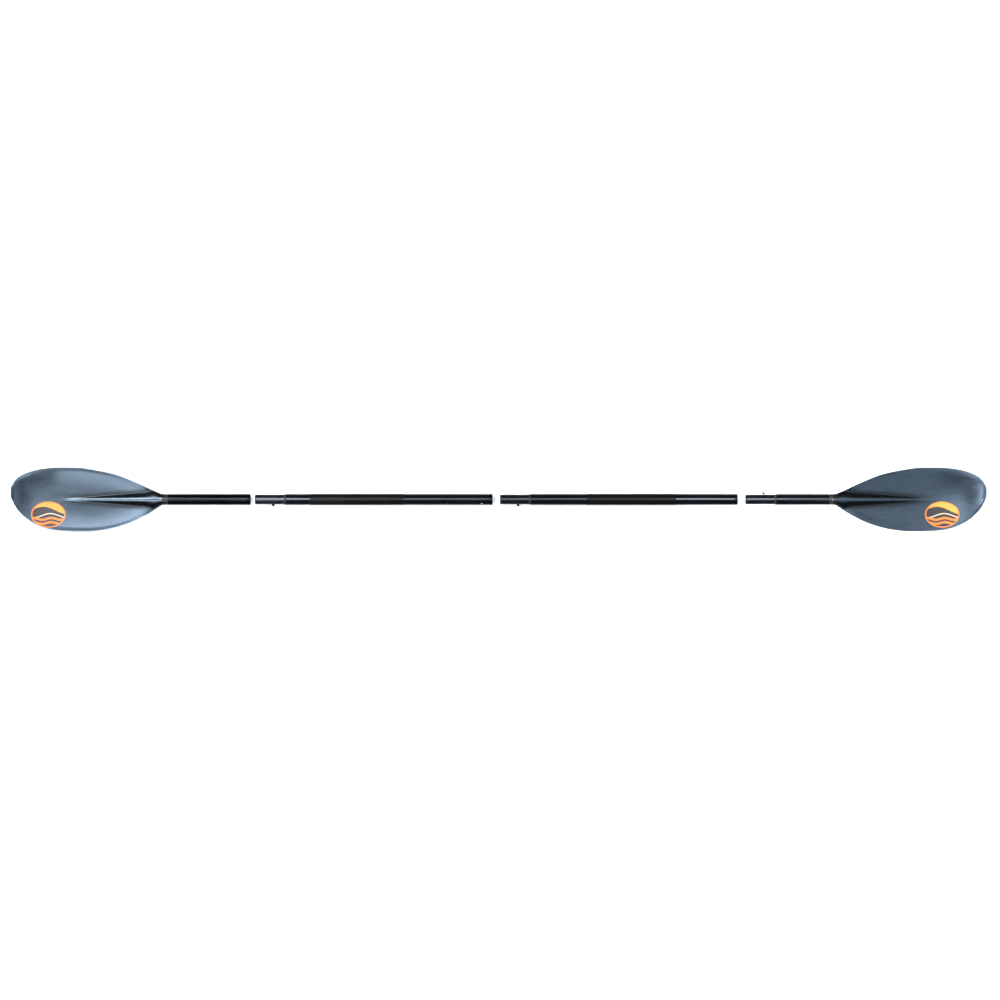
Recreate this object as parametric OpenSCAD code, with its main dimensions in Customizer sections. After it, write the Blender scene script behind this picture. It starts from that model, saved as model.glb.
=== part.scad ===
// Four-piece kayak paddle, laid out in line with its three joints open.
// Millimetres. X runs along the shaft, +Z is up, and both blade faces look up.
// The shaft's axis lies at y = 0, one grip radius above the ground.

/* [Layout] */
// Gap between the left blade's tube and the left spigot
left_gap = 11.7; // [5:0.1:40]
// Gap between the left shaft and the centre spigot
centre_gap = 19.6; // [5:0.1:40]
// Gap between the right shaft and the right spigot
right_gap = 20.4; // [5:0.1:40]

/* [Blades] */
// Length of a blade from its tip to its neck
blade_len = 400; // [330:5:520]
// Half the greatest width of a blade
blade_half = 85; // [60:1:100]
// Thickness of a blade at its rim
rim_t = 2.4; // [1.6:0.1:5]
// Thickness of a blade beside its spine
core_t = 4.6; // [3:0.1:9]
// Width of the margin along the rim where a blade thins out
margin_w = 10; // [4:0.5:20]
// How far the two long edges curl up
camber_h = 8; // [0:0.5:15]
// Share of the blade's length at which the spoon is deepest, from the neck
belly_at = 0.62; // [0.5:0.01:0.8]
// Share of the blade's length that the spine runs along, from the neck
spine_share = 0.78; // [0.5:0.01:0.95]
// How far the spine's foot spreads beyond the tube, on each side
spine_flare = 10.7; // [4:0.1:16]
// Length of the neck stub inside the blade's tube
stub_len = 60; // [30:1:90]

/* [Blade tubes] */
// Length of the left blade's tube
left_blade_tube_len = 219; // [150:1:300]
// Length of the right blade's tube
right_blade_tube_len = 141; // [120:1:300]
// Width of the collar between a blade's neck and its tube
neck_ring_w = 16; // [8:0.5:24]

/* [Tubes] */
// Length of each of the two shaft tubes
shaft_len = 548; // [450:1:700]
// Outside diameter of every tube
tube_d = 28.6; // [25:0.1:35]
// Wall of every tube
tube_wall = 1.5; // [1:0.1:2.5]
// Radial clearance of a spigot in its socket
fit_gap = 0.1; // [0.05:0.01:0.1]
// Chamfer on the tube ends
end_chamfer = 0.6; // [0.2:0.1:1]

/* [Spigots] */
// Length of a spigot outside its shoulder ring
spigot_len = 77; // [60:1:100]
// Length of a spigot hidden inside its own tube
spigot_root = 60; // [40:1:90]
// Wall of a spigot
spigot_wall = 1.3; // [0.9:0.1:2]
// Width of a shoulder ring
ring_w = 5; // [2:0.5:8]
// How far a shoulder ring stands out of its spigot
ring_h = 0.8; // [0.4:0.1:1.5]
// Radius on the nose of a spigot's cap
cap_round = 3; // [1:0.5:5]

/* [Grips] */
// Thickness of a grip sleeve
grip_t = 0.4; // [0.3:0.1:3]
// Distance from the left shaft's shoulder ring to its grip
left_grip_at = 64; // [20:1:150]
// Length of the left grip
left_grip_len = 248; // [120:1:300]
// Distance from the right shaft's shoulder ring to its grip
right_grip_at = 148.5; // [20:0.5:200]
// Length of the right grip
right_grip_len = 236; // [120:1:300]

/* [Push buttons] */
// Distance of a button from its shoulder ring
button_back = 29; // [20:1:45]
// Diameter of a push button
button_d = 7; // [5:0.5:9]
// Height of a button above its spigot
button_h = 7.5; // [4:0.5:9]
// Clearance round a button in its holes
hole_gap = 0.35; // [0.1:0.05:0.8]
// Turn of the left and centre buttons about the shaft, from +Y towards +Z
low_button_turn = 207; // [0:1:359]
// Turn of the right button about the shaft
high_button_turn = 0; // [0:1:359]
// Feather angle between two neighbouring holes of the centre joint
feather = 60; // [30:5:90]
// Thickness of the spring strip
leaf_t = 0.7; // [0.5:0.1:1]
// Width of the spring strip
leaf_w = 8; // [5:0.5:9]
// Distance from a button to the bend of its spring
leaf_len = 32; // [25:1:40]

/* [Decals] */
// Length of an oval decal
decal_len = 91; // [60:1:110]
// Width of an oval decal
decal_wid = 69; // [40:1:80]
// Thickness of a decal
decal_t = 0.25; // [0.1:0.05:0.6]
// Distance of the left decal's middle from its blade's tip
left_decal_at = 99; // [80:1:160]
// Distance of the right decal's middle from its blade's tip
right_decal_at = 117; // [80:1:160]
// Distance of a decal's middle from the shaft's axis
decal_down = 40; // [36:1:44]

/* [Hidden] */
$fn = 96;
eps = 0.02;

tube_r = tube_d / 2;
bore_r = tube_r - tube_wall;
spigot_r = bore_r - fit_gap;
spigot_bore_r = spigot_r - spigot_wall;
plug_r = bore_r - 0.05;
grip_r = tube_r + grip_t;
axis_z = grip_r;
ring_r = spigot_r + ring_h;
neck_ring_r = tube_r + 0.4;
// Clearance of a ring to the piece beside it
ring_play = 0.1;

left_piece = blade_len + neck_ring_w + left_blade_tube_len;
right_piece = blade_len + neck_ring_w + right_blade_tube_len;
// Length of the paddle with all its joints closed
paddle_len = left_piece + right_piece + 2 * shaft_len + 3 * ring_w;
socket_depth = spigot_len + 2;
stopper_len = 25;
layout_len = paddle_len + 3 * spigot_len + left_gap + centre_gap + right_gap;

// Stations along X, from the left tip to the right tip
x_left_tip = -layout_len / 2;
x_left_mouth = x_left_tip + left_piece;
x_left_nose = x_left_mouth + left_gap;
x_left_seat = x_left_nose + spigot_len;
x_left_root = x_left_seat + ring_w;
x_centre_mouth = x_left_root + shaft_len;
x_centre_nose = x_centre_mouth + centre_gap;
x_centre_seat = x_centre_nose + spigot_len;
x_centre_root = x_centre_seat + ring_w;
x_right_mouth = x_centre_root + shaft_len;
x_right_nose = x_right_mouth + right_gap;
x_right_seat = x_right_nose + spigot_len;
x_right_root = x_right_seat + ring_w;
x_right_tip = layout_len / 2;

// Blade edges, as [share of the length from the tip, share of the half width]
neck_share = tube_r / blade_half;
upper_edge = [
    [0, 0.28], [0.0125, 0.48], [0.0525, 0.706], [0.145, 0.894], [0.265, 0.985], [0.43, 1],
    [0.565, 0.915], [0.7, 0.772], [0.83, 0.53], [0.96, 0.245], [1, neck_share]
];
lower_edge = [
    [0, -0.155], [0.0125, 0.047], [0.0525, 0.359], [0.145, 0.725], [0.265, 0.938], [0.43, 1],
    [0.53, 0.995], [0.65, 0.925], [0.78, 0.75], [0.9, 0.48], [0.96, 0.3], [1, neck_share]
];

// Blade mesh
rows = 38;
inner = 4;
outer = 5;
columns = 2 * (inner + outer);
// Clearance of the blade's lowest layer over the ground, with its half thickness
belly_lift = 4.3;
spoon_drop = axis_z - belly_lift;
// Roundness of the spine's crest, as a share of its foot
crest_q = 0.45;
// How fast the spine sinks into the panel
spine_fall = 1.15;
// Half the thickness of the blade's thin edge at the neck
neck_edge = 0.6;
// Shares of the length, from the neck, over which foot, panel, ridge and curl grow to full
foot_share = 0.06;
panel_share = 0.1;
ridge_share = 0.12;
curl_share = 0.15;
// Share of the length, from the tip, over which the curl fades
curl_fade = 0.25;
// How strongly the rows crowd at the tip, and the share over which their columns settle
row_crowd = 1.5;
settle_share = 0.06;

// ---- Curves through control points -------------------------------------------------

// Which span of the points p holds the station q
function span(p, q, i = 0) = (i >= len(p) - 2 || q < p[i + 1][0]) ? i : span(p, q, i + 1);

// Slope at point i, from its neighbours
function slope(p, i) =
    let (a = max(i - 1, 0), b = min(i + 1, len(p) - 1))
    (p[b][1] - p[a][1]) / (p[b][0] - p[a][0]);

// Cubic curve through the points p, at the station q
function curve(p, q) =
    let (i = span(p, q), a = p[i], b = p[i + 1], h = b[0] - a[0], t = (q - a[0]) / h)
    a[1] * (1 + 2 * t) * (1 - t) * (1 - t) + h * slope(p, i) * t * (1 - t) * (1 - t)
    + b[1] * t * t * (3 - 2 * t) + h * slope(p, i + 1) * t * t * (t - 1);

// Near the tip an edge runs like a square root, so it is drawn over the root of its share
function rooted(p) = [for (c = p) [sqrt(c[0]), c[1]]];
upper_curve = rooted(upper_edge);
lower_curve = rooted(lower_edge);
function upper(s) = blade_half * min(curve(upper_curve, sqrt(s)), 1);
function lower(s) = -blade_half * min(curve(lower_curve, sqrt(s)), 1);
function smooth(t) = let (c = min(max(t, 0), 1)) c * c * (3 - 2 * c);

// ---- Blade surface; s is the share of the length from the tip, t from the neck ------

function spoon(t) = let (k = t / belly_at) spoon_drop * (pow(k, 4) - 2 * pow(k, 2));
function camber(t, y, w) =
    camber_h * smooth(t / curl_share) * smooth((1 - t) / curl_fade) * pow(y / w, 2);
function spine_half(t) =
    (tube_r + spine_flare * smooth(t / foot_share)) * max(1 - t / spine_share, eps);
function spine_high(t) = tube_r * pow(max(1 - t / spine_share, 0), spine_fall);
// Section of a ridge with straight flanks and a rounded crest, 1 high and 1 wide
function ridge(q) = (sqrt(1 + crest_q * crest_q) - sqrt(q * q + crest_q * crest_q))
    / (sqrt(1 + crest_q * crest_q) - crest_q);
// The spine is round at the neck and turns into a ridge
function spine(t, y) =
    let (q = min(abs(y) / spine_half(t), 1), f = smooth(t / ridge_share))
    spine_high(t) * ((1 - f) * sqrt(1 - q * q) + f * ridge(q));
function panel(t, y, w) =
    let (inset = min(w - abs(y), (1 - t) * blade_len), full = smooth(t / panel_share))
    neck_edge + full * (rim_t / 2 - neck_edge + (core_t - rim_t) / 2 * smooth(inset / margin_w));
function half_t(t, y, w) =
    pow(pow(panel(t, y, w), 4) + pow(spine(t, y), 4), 0.25);

// Where column j of a row lies across the blade
function across(j, t, low, high) =
    let (
        k = j - inner - outer,
        a = min(spine_half(t), 0.8 * high, -0.8 * low) * (t > 0.97 ? 0.5 : 1),
        w = k > 0 ? high : -low,
        f = abs(k) <= inner ? a * abs(k) / inner : a + (w - a) * sin(90 * (abs(k) - inner) / outer)
    )
    k > 0 ? f : -f;

// The row at the tip is a short straight edge, off the axis
function tip_y(j, low, high) = low + (high - low) * j / columns;

function station(i) = pow(i / rows, row_crowd);

// Mixed from the tip's even spacing to the spine's spacing over the first few rows
function column_y(i, j) =
    let (
        s = station(i),
        high = upper(s),
        low = lower(s),
        even = tip_y(j, low, high),
        share = smooth(s / settle_share)
    )
    low >= 0 ? even : even + share * (across(j, 1 - s, low, high) - even);

function blade_point(i, j, side, lift = 0) =
    let (
        s = station(i),
        t = 1 - s,
        y = column_y(i, j),
        w = max(y > 0 ? upper(s) : -lower(s), 1),
        h = half_t(t, y, w)
    )
    [s * blade_len, y, spoon(t) + camber(t, y, w) + side * h + lift];

// ---- Blade solids, with the tip at x = 0 and the shaft's axis at y = z = 0 -----------

function quad(a, b, c, d) = [[a, b, c], [a, c, d]];

// A closed shell between two grids of points, from row r0 to r1 and column c0 to c1
module shell(top, bottom, nr, nc) {
    n = nr * nc;
    points = concat(top, bottom);
    low = n;
    last = (nr - 1) * nc;
    cells = [for (i = [0:nr - 2], j = [0:nc - 2]) i * nc + j];
    faces = concat(
        [for (a = cells) each quad(a, a + 1, a + nc + 1, a + nc)],
        [for (a = cells) each quad(low + a, low + a + nc, low + a + nc + 1, low + a + 1)],
        [for (a = [nc - 1:nc:last - 1]) each quad(a + nc, a, low + a, low + a + nc)],
        [for (a = [0:nc:last - 1]) each quad(a, a + nc, low + a + nc, low + a)],
        [for (j = [0:nc - 2]) each quad(j + 1, j, low + j, low + j + 1)],
        [for (a = [last:last + nc - 2]) each quad(a, a + 1, low + a + 1, low + a)]
    );
    polyhedron(points = points, faces = faces, convexity = 6);
}

module blade_shell() {
    top = [for (i = [0:rows], j = [0:columns]) blade_point(i, j, 1)];
    bottom = [for (i = [0:rows], j = [0:columns]) blade_point(i, j, -1)];
    shell(top, bottom, rows + 1, columns + 1);
}

module blade() {
    blade_shell();
    overlap = 15;
    translate([blade_len - overlap, 0, 0])
        along_x()
            cylinder(h = overlap + neck_ring_w + stub_len, r = plug_r - 0.05);
}

// A thin sheet that follows the blade's face, cut to an oval
module decal(at) {
    first = 6;
    last = 25;
    patch = [for (i = [first:last], j = [0:inner + outer]) blade_point(i, j, 1, eps + decal_t)];
    under = [for (i = [first:last], j = [0:inner + outer]) blade_point(i, j, 1, eps)];
    intersection() {
        shell(patch, under, last - first + 1, inner + outer + 1);
        translate([at, -decal_down, -axis_z])
            linear_extrude(4 * axis_z)
                scale([decal_len / 2, decal_wid / 2])
                    circle(r = 1, $fn = 72);
    }
}

// ---- Round pieces along +X, from x = 0 ----------------------------------------------

module along_x() {
    rotate([0, 90, 0])
        children();
}

// Plain tube with a small chamfer outside at both ends
module tube(l, r, bore) {
    along_x()
        rotate_extrude()
            polygon([
                [bore, 0],
                [r - end_chamfer, 0],
                [r, end_chamfer],
                [r, l - end_chamfer],
                [r - end_chamfer, l],
                [bore, l]
            ]);
}

// Round hole through one wall, at station x and turned about the shaft
module wall_hole(x, turn) {
    translate([x, 0, 0])
        rotate([turn - 90, 0, 0])
            cylinder(h = 2 * tube_r, r = button_d / 2 + hole_gap);
}

// Foam bung with chamfered rims
module stopper() {
    rim = 1.5;
    along_x()
        rotate_extrude()
            polygon([
                [0, 0],
                [plug_r - rim, 0],
                [plug_r, rim],
                [plug_r, stopper_len - rim],
                [plug_r - rim, stopper_len],
                [0, stopper_len]
            ]);
}

// Collar between a blade's neck and its tube: a lip, a groove, a rib and a lower sleeve
module neck_ring() {
    w = neck_ring_w - 2 * ring_play;
    edge = 0.4;
    groove = 0.5;
    lip_end = w * 0.13;
    rib_start = w * 0.21;
    rib_end = w * 0.5;
    sleeve_r = neck_ring_r - 0.6;
    along_x()
        rotate_extrude()
            polygon([
                [plug_r, 0],
                [neck_ring_r - edge, 0],
                [neck_ring_r, edge],
                [neck_ring_r, lip_end],
                [neck_ring_r - groove, lip_end + groove],
                [neck_ring_r - groove, rib_start],
                [neck_ring_r, rib_start + groove],
                [neck_ring_r, rib_end],
                [sleeve_r, rib_end + groove],
                [sleeve_r, w - edge],
                [sleeve_r - edge, w],
                [plug_r, w]
            ]);
}

// Ring at the root of a spigot, chamfered outside
module shoulder_ring() {
    w = ring_w - ring_play;
    edge = ring_h / 2;
    bore = spigot_r + 0.05;
    along_x()
        rotate_extrude()
            polygon([
                [bore, 0],
                [ring_r - edge, 0],
                [ring_r, edge],
                [ring_r, w - edge],
                [ring_r - edge, w],
                [bore, w]
            ]);
}

// Spigot with its nose at x = 0, without its cap
module spigot(turn) {
    total = spigot_len + ring_w + spigot_root;
    start = cap_round + 0.5;
    difference() {
        translate([start, 0, 0])
            tube(total - start, spigot_r, spigot_bore_r);
        wall_hole(spigot_len - button_back, turn);
    }
}

// Cap that closes a spigot, rounded at its nose and plugged into its bore
module spigot_cap() {
    body = 9;
    rim = 0.4;
    front = cap_round + rim / 2;
    along_x()
        rotate_extrude() {
            translate([0, cap_round])
                square([spigot_r, rim]);
            square([spigot_r - cap_round, front]);
            intersection() {
                translate([spigot_r - cap_round, cap_round])
                    circle(r = cap_round);
                square([spigot_r, front]);
            }
            translate([0, cap_round + 0.75 * rim])
                square([spigot_bore_r - 0.05, body]);
        }
}

// Sleeve shrunk on to a tube
module grip(l) {
    lip = 0.6;
    shrunk_r = grip_r - grip_t / 2;
    along_x()
        rotate_extrude()
            polygon([
                [tube_r + eps, 0],
                [shrunk_r, 0],
                [grip_r, lip],
                [grip_r, l - lip],
                [shrunk_r, l],
                [tube_r + eps, l]
            ]);
}

// ---- Push button and its spring; the button points to +Z over x = 0 ------------------

bend_r = 3;
leaf_gap = 0.2;
// How far the fixed and the moving leaf reach past the button's middle
base_end = 6;
arm_end = button_d / 2 + 1;
base_z = sqrt(pow(spigot_bore_r, 2) - pow(leaf_w / 2, 2)) - 0.15;
base_tilt = atan((base_z - bend_r) / (leaf_len + base_end));
arm_tilt = atan((base_z - leaf_gap - bend_r) / (leaf_len + arm_end));
arm_z = bend_r + leaf_len * tan(arm_tilt);
shank_r = 1.5;

// Lays a profile drawn in the shaft's X and Z across the strip's width
module strip() {
    rotate([90, 0, 0])
        translate([0, 0, -leaf_w / 2])
            linear_extrude(leaf_w)
                children();
}

// Fixed leaf and the round bend
module clip_base() {
    strip() {
        difference() {
            translate([leaf_len, 0])
                circle(r = bend_r, $fn = 48);
            translate([leaf_len, 0])
                circle(r = bend_r - leaf_t, $fn = 48);
            translate([leaf_len - 2 * bend_r, -2 * bend_r])
                square([2 * bend_r, 4 * bend_r]);
        }
        translate([leaf_len, -bend_r])
            rotate(180 + base_tilt)
                translate([-2 * leaf_gap, -leaf_t])
                    square([leaf_len + base_end, leaf_t]);
    }
}

// Moving leaf, with the hole that its button is riveted into
module clip_arm() {
    cut = 5;
    difference() {
        strip()
            translate([leaf_len - leaf_gap, bend_r])
                rotate(180 - arm_tilt)
                    square([(leaf_len + arm_end - leaf_gap) / cos(arm_tilt), leaf_t]);
        translate([0, 0, arm_z - cut])
            cylinder(h = 2 * cut, r = shank_r + 0.05);
    }
}

module button() {
    r = button_d / 2;
    dome = 2.6;
    rivet = 1;
    overlap = 0.5;
    top = spigot_r + button_h;
    foot = arm_z + (r + 0.1) * tan(arm_tilt);
    rotate_extrude() {
        translate([0, arm_z - leaf_t - rivet])
            square([shank_r, foot - arm_z + leaf_t + 2 * rivet]);
        translate([0, foot])
            square([r, top - dome - foot]);
        intersection() {
            translate([0, top - dome])
                scale([1, dome / r])
                    circle(r = r, $fn = 64);
            translate([0, top - dome - overlap])
                square([r, dome + 2 * overlap]);
        }
    }
}

// Puts a button's parts at its station, turned about the shaft
module at_button(nose, turn) {
    translate([nose + spigot_len - button_back, 0, axis_z])
        rotate([turn - 90, 0, 0])
            children();
}

// ---- Placement ---------------------------------------------------------------------

module place(x) {
    translate([x, 0, axis_z])
        children();
}

module place_mirrored(x) {
    translate([x, 0, axis_z])
        mirror([1, 0, 0])
            children();
}

// ---- Left blade piece --------------------------------------------------------------

module left_blade() {
    color([0.2, 0.26, 0.31])
        place(x_left_tip)
            blade();
}

module left_neck_ring() {
    color([0.08, 0.08, 0.09])
        place(x_left_tip + blade_len + ring_play)
            neck_ring();
}

module left_blade_tube() {
    color([0.12, 0.12, 0.13])
        place(x_left_mouth - left_blade_tube_len)
            difference() {
                tube(left_blade_tube_len, tube_r, bore_r);
                wall_hole(left_blade_tube_len - button_back, low_button_turn);
            }
}

module left_tube_stopper() {
    color([0.75, 0.75, 0.72])
        place(x_left_mouth - socket_depth - stopper_len)
            stopper();
}

module left_decal() {
    color([0.85, 0.35, 0.08])
        place(x_left_tip)
            decal(left_decal_at);
}

// ---- Left shaft piece --------------------------------------------------------------

module left_shaft_tube() {
    color([0.12, 0.12, 0.13])
        place(x_left_root)
            difference() {
                tube(shaft_len, tube_r, bore_r);
                for (k = [-1:1])
                    wall_hole(shaft_len - button_back, low_button_turn + k * feather);
            }
}

module left_grip() {
    color([0.04, 0.04, 0.04])
        place(x_left_root + left_grip_at)
            grip(left_grip_len);
}

module left_shaft_stopper() {
    color([0.75, 0.75, 0.72])
        place(x_centre_mouth - socket_depth - stopper_len)
            stopper();
}

module left_spigot() {
    color([0.2, 0.2, 0.21])
        place(x_left_nose)
            spigot(low_button_turn);
}

module left_spigot_cap() {
    color([0.1, 0.1, 0.1])
        place(x_left_nose)
            spigot_cap();
}

module left_shoulder_ring() {
    color([0.05, 0.05, 0.05])
        place(x_left_seat)
            shoulder_ring();
}

module left_clip_base() {
    color([0.6, 0.6, 0.62])
        at_button(x_left_nose, low_button_turn)
            clip_base();
}

module left_clip_arm() {
    color([0.6, 0.6, 0.62])
        at_button(x_left_nose, low_button_turn)
            clip_arm();
}

module left_button() {
    color([0.75, 0.75, 0.76])
        at_button(x_left_nose, low_button_turn)
            button();
}

// ---- Right shaft piece -------------------------------------------------------------

module right_shaft_tube() {
    color([0.12, 0.12, 0.13])
        place(x_centre_root)
            difference() {
                tube(shaft_len, tube_r, bore_r);
                wall_hole(shaft_len - button_back, high_button_turn);
            }
}

module right_grip() {
    color([0.04, 0.04, 0.04])
        place(x_centre_root + right_grip_at)
            grip(right_grip_len);
}

module right_shaft_stopper() {
    color([0.75, 0.75, 0.72])
        place(x_right_mouth - socket_depth - stopper_len)
            stopper();
}

module centre_spigot() {
    color([0.2, 0.2, 0.21])
        place(x_centre_nose)
            spigot(low_button_turn);
}

module centre_spigot_cap() {
    color([0.1, 0.1, 0.1])
        place(x_centre_nose)
            spigot_cap();
}

module centre_shoulder_ring() {
    color([0.05, 0.05, 0.05])
        place(x_centre_seat)
            shoulder_ring();
}

module centre_clip_base() {
    color([0.6, 0.6, 0.62])
        at_button(x_centre_nose, low_button_turn)
            clip_base();
}

module centre_clip_arm() {
    color([0.6, 0.6, 0.62])
        at_button(x_centre_nose, low_button_turn)
            clip_arm();
}

module centre_button() {
    color([0.75, 0.75, 0.76])
        at_button(x_centre_nose, low_button_turn)
            button();
}

// ---- Right blade piece -------------------------------------------------------------

module right_blade() {
    color([0.14, 0.18, 0.23])
        place_mirrored(x_right_tip)
            blade();
}

module right_neck_ring() {
    color([0.08, 0.08, 0.09])
        place_mirrored(x_right_tip - blade_len - ring_play)
            neck_ring();
}

module right_blade_tube() {
    color([0.12, 0.12, 0.13])
        place(x_right_root)
            tube(right_blade_tube_len, tube_r, bore_r);
}

module right_decal() {
    color([0.85, 0.35, 0.08])
        place_mirrored(x_right_tip)
            decal(right_decal_at);
}

module right_spigot() {
    color([0.2, 0.2, 0.21])
        place(x_right_nose)
            spigot(high_button_turn);
}

module right_spigot_cap() {
    color([0.1, 0.1, 0.1])
        place(x_right_nose)
            spigot_cap();
}

module right_shoulder_ring() {
    color([0.05, 0.05, 0.05])
        place(x_right_seat)
            shoulder_ring();
}

module right_clip_base() {
    color([0.6, 0.6, 0.62])
        at_button(x_right_nose, high_button_turn)
            clip_base();
}

module right_clip_arm() {
    color([0.6, 0.6, 0.62])
        at_button(x_right_nose, high_button_turn)
            clip_arm();
}

module right_button() {
    color([0.75, 0.75, 0.76])
        at_button(x_right_nose, high_button_turn)
            button();
}

// ---- Drawing -----------------------------------------------------------------------

left_blade();
left_neck_ring();
left_blade_tube();
left_tube_stopper();
left_decal();
left_shaft_tube();
left_grip();
left_shaft_stopper();
left_spigot();
left_spigot_cap();
left_shoulder_ring();
left_clip_base();
left_clip_arm();
left_button();
right_shaft_tube();
right_grip();
right_shaft_stopper();
centre_spigot();
centre_spigot_cap();
centre_shoulder_ring();
centre_clip_base();
centre_clip_arm();
centre_button();
right_blade();
right_neck_ring();
right_blade_tube();
right_decal();
right_spigot();
right_spigot_cap();
right_shoulder_ring();
right_clip_base();
right_clip_arm();
right_button();
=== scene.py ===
# %% [markdown]
# # A take-apart kayak paddle
#
# A touring paddle for a small boat: two asymmetric moulded blades on a black
# tube that comes apart at three push-button joints. Here its four pieces lie in
# line with the joints open. The exact model of the tubes, spigots and joints is
# loaded first and never moved. Blender adds smooth blades, decals, sleeves,
# collars, rings, caps and spring leaves to it, and every finish.

# %% Load the exact model
import math
import bmesh
import bpy
from mathutils import Matrix, Vector


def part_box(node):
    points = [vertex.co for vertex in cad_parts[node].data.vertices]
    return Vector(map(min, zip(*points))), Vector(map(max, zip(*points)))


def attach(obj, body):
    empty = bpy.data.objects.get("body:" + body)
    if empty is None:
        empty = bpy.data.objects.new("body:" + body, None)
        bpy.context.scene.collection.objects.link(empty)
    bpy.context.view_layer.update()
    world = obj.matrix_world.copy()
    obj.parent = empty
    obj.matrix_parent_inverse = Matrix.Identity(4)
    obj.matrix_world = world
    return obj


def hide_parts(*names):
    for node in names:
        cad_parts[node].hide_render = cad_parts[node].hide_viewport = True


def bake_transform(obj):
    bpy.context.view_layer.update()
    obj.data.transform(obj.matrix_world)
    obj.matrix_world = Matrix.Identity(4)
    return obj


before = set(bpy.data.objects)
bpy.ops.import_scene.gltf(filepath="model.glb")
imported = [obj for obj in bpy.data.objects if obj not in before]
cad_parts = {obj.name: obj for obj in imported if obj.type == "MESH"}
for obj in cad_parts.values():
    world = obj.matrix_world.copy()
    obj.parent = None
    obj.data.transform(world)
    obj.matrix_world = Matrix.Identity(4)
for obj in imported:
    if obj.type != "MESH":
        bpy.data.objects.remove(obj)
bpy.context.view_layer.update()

# %% [markdown]
# ## Measures
#
# Every place comes from the boxes of the exact pieces, so the new pieces fit
# without any nudging. The shaft's axis is the X direction, at half the grip's
# diameter above the ground.

# %% Measures of the paddle
MM = 0.001
tube_low, tube_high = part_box("left_blade_tube")
TUBE_R = (tube_high.y - tube_low.y) / 2
AXIS_Z = (tube_high.z + tube_low.z) / 2
LEFT_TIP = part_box("left_blade")[0].x
RIGHT_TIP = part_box("right_blade")[1].x
BLADE_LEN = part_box("left_neck_ring")[0].x - 0.1 * MM - LEFT_TIP
BLADE_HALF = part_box("left_blade")[1].y
print(f"tube radius {TUBE_R * 1000:.2f} mm, axis at {AXIS_Z * 1000:.2f} mm")
print(f"blade {BLADE_LEN * 1000:.1f} x {BLADE_HALF * 2000:.1f} mm")

# %% [markdown]
# ## Camera
#
# A flat lay like this one is taken from straight above with a long lens, so
# that the tubes stay parallel and the far ends aren't stretched.

# %% Camera straight above the paddle
VIEW_WIDTH = 2.651
LENS = 250.0
MIDDLE_X, MIDDLE_Y = 0.0035, -0.0015
camera_data = bpy.data.cameras.new("overhead_camera")
camera_data.lens = LENS
camera_data.sensor_width = 36.0
camera = bpy.data.objects.new("overhead_camera", camera_data)
bpy.context.scene.collection.objects.link(camera)
camera_height = VIEW_WIDTH * LENS / camera_data.sensor_width
camera.location = (MIDDLE_X, MIDDLE_Y, AXIS_Z + camera_height)
bpy.context.scene.camera = camera
print(f"camera {camera_height:.2f} m above the shaft")

# %% [markdown]
# ## Floor and light
#
# The floor is a broad pale sheet with a faint mottle, so that it doesn't look
# computed. Over each blade hang two softboxes, one on either side of the shaft.
# A blade's curled edges turn towards them and go pale, and its flat middle looks
# up between them and stays dark. The left pair is much stronger. A wide weak
# key far away draws the thin line along the black tubes, two small boxes brighten
# that line near both ends of the shaft, and a strip puts an edge on the right tip.

# %% Floor
FLOOR_HALF = 60.0
floor_mesh = bpy.data.meshes.new("floor")
floor_bm = bmesh.new()
bmesh.ops.create_grid(floor_bm, x_segments=1, y_segments=1, size=FLOOR_HALF)
floor_bm.to_mesh(floor_mesh)
floor_bm.free()
floor = bpy.data.objects.new("floor", floor_mesh)
bpy.context.scene.collection.objects.link(floor)
print(f"floor {2 * FLOOR_HALF:.0f} m wide")

# %% Lamps
NEUTRAL, BLUISH = (0.95, 0.99, 1.02), (0.87, 0.98, 1.12)
BOX_HEIGHT = 2.4


def softbox(name, place, aim, size, watts, spread=180, colour=NEUTRAL):
    """A rectangular area lamp at place, facing aim, with size in metres."""
    data = bpy.data.lights.new(name, "AREA")
    data.shape = "RECTANGLE"
    data.size, data.size_y = size
    data.energy = watts
    data.color = colour
    data.spread = math.radians(spread)
    lamp = bpy.data.objects.new(name, data)
    lamp.location = place
    facing = Vector(aim) - Vector(place)
    lamp.rotation_mode = "QUATERNION"
    lamp.rotation_quaternion = facing.to_track_quat("-Z", "Y")
    bpy.context.scene.collection.objects.link(lamp)
    lamp.visible_camera = False
    return lamp


OVERHEAD_BOXES = [
    # name, x, y, size, watts, colour
    ("left_near_box", -1.60, -1.05, (1.1, 1.3), 52, NEUTRAL),
    ("left_far_box", -1.60, 1.15, (1.1, 1.0), 80, NEUTRAL),
    ("right_near_box", 1.60, -1.05, (1.1, 1.3), 11, BLUISH),
    ("right_far_box", 1.60, 1.15, (1.1, 1.0), 3, BLUISH),
    ("left_key", -0.62, 0.42, (0.5, 0.9), 15, NEUTRAL),
    ("right_key", 0.62, 0.42, (0.45, 0.9), 14, NEUTRAL),
]
for name, x, y, size, watts, colour in OVERHEAD_BOXES:
    softbox(name, (x, y, BOX_HEIGHT), (x, y, 0.0), size, watts, colour=colour)
tip_strip = softbox("tip_strip", (0.20, 0.0, 0.8), (1.27, 0.0, 0.02), (0.12, 0.6), 2.0, 40)
tip_strip.data.use_shadow = False
sun_data = bpy.data.lights.new("far_key", "SUN")
sun_data.energy = 0.8
sun_data.angle = math.radians(38)
sun_data.color = (0.93, 0.98, 1.03)
sun = bpy.data.objects.new("far_key", sun_data)
sun.rotation_euler = (math.radians(-10), 0, 0)
bpy.context.scene.collection.objects.link(sun)
print(len(OVERHEAD_BOXES), "softboxes, a tip strip and a soft far key over a pale floor")

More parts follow.
